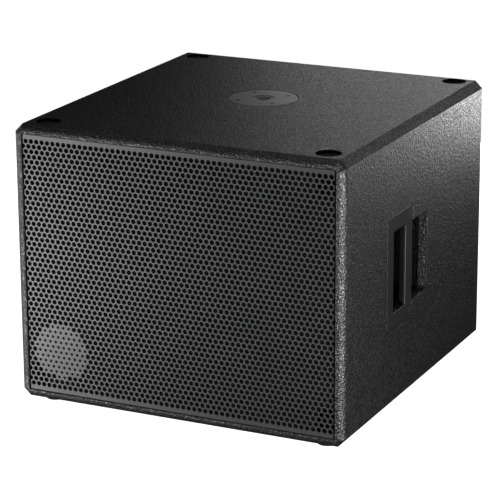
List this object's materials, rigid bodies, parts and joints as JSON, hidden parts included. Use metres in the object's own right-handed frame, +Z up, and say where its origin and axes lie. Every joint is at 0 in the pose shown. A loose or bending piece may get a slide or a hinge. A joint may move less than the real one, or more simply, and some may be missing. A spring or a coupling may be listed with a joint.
{
  "type": "subwoofer cabinet",
  "caption": "Black plywood bass-reflex subwoofer with a full-front perforated grille, flush side handles, top pole flange and stacking feet.",
  "frame": {"origin": "on the floor under the middle of the cabinet (bottom centre of the bounding box)", "axes": "+Z up, -Y out of the grille, +X to the right seen from the front; +Y is the depth and the longest side"},
  "size_m": [0.586, 0.602, 0.477],
  "materials": {
    "cabinet_paint": "black granular structured paint on birch plywood",
    "inner_paint": "thin black paint on plywood",
    "plywood": "raw birch plywood",
    "grille_steel": "satin dark powder coat",
    "acoustic_foam": "open-cell black foam",
    "black_steel": "black powder coat",
    "black_screw": "black oxide",
    "handle_casting": "smooth satin black coat",
    "flange_steel": "smooth satin dark coat",
    "foot_rubber": "matt black rubber",
    "zinc_steel": "zinc plated",
    "cast_basket": "black coated die casting",
    "trim_rubber": "matt rubber trim ring",
    "surround_cloth": "doped cloth",
    "cone_paper": "coated paper pulp",
    "coil_former": "amber polyimide",
    "copper_wire": "enamelled copper",
    "spider_cloth": "resin-set cotton",
    "ferrite": "ground ferrite",
    "black_plastic": "moulded black plastic",
    "tinned_brass": "tinned",
    "red_insulation": "red pvc sleeve",
    "black_insulation": "black pvc sleeve",
    "fibre_lining": "polyester fibre batt"
  },
  "bodies": {
    "cabinet": {"left_side_panel": "cabinet_paint", "right_side_panel": "cabinet_paint", "top_panel": "cabinet_paint", "bottom_panel": "cabinet_paint", "rear_panel": "cabinet_paint", "front_baffle": "inner_paint", "window_brace": "plywood", "grille": "grille_steel", "grille_foam": "acoustic_foam", "grille_brackets": "black_steel", "grille_screws": "black_screw", "left_handle_plate": "handle_casting", "right_handle_plate": "handle_casting", "left_handle_box": "inner_paint", "right_handle_box": "inner_paint", "handle_screws": "black_screw", "pole_flange": "flange_steel", "pole_flange_screws": "black_screw", "rubber_feet": "foot_rubber", "foot_screws": "zinc_steel", "driver_basket": "cast_basket", "driver_seal": "acoustic_foam", "driver_trim_ring": "trim_rubber", "driver_bolts": "black_screw", "driver_tee_nuts": "zinc_steel", "surround": "surround_cloth", "spider": "spider_cloth", "magnet_top_plate": "zinc_steel", "ferrite_magnet": "ferrite", "pole_yoke": "zinc_steel", "magnet_screws": "zinc_steel", "driver_terminals": "black_plastic", "tinsel_leads": "copper_wire", "port_tube_upper_left": "black_plastic", "port_tube_lower_left": "black_plastic", "port_tube_upper_right": "black_plastic", "port_tube_lower_right": "black_plastic", "connector_plate": "black_steel", "connector_gasket": "acoustic_foam", "connector_plate_screws": "black_screw", "input_socket": "black_plastic", "link_socket": "black_plastic", "socket_screws": "zinc_steel", "socket_terminals": "tinned_brass", "red_speaker_wire": "red_insulation", "black_speaker_wire": "black_insulation", "cable_clip": "black_plastic", "lining_left": "fibre_lining", "lining_right": "fibre_lining", "lining_top": "fibre_lining", "lining_bottom": "fibre_lining", "lining_rear": "fibre_lining"},
    "cone_assembly": {"cone": "cone_paper", "dust_cap": "cone_paper", "voice_coil_former": "coil_former", "voice_coil_winding": "copper_wire"}
  },
  "joints": [
    {"name": "cone_travel", "type": "slide", "parent": "cabinet", "child": "cone_assembly", "axis": [0, -1, 0], "range_m": [-0.008, 0.008], "stiffness_N_per_m": 6700, "deforming": ["surround", "spider", "tinsel_leads"]}
  ]
}
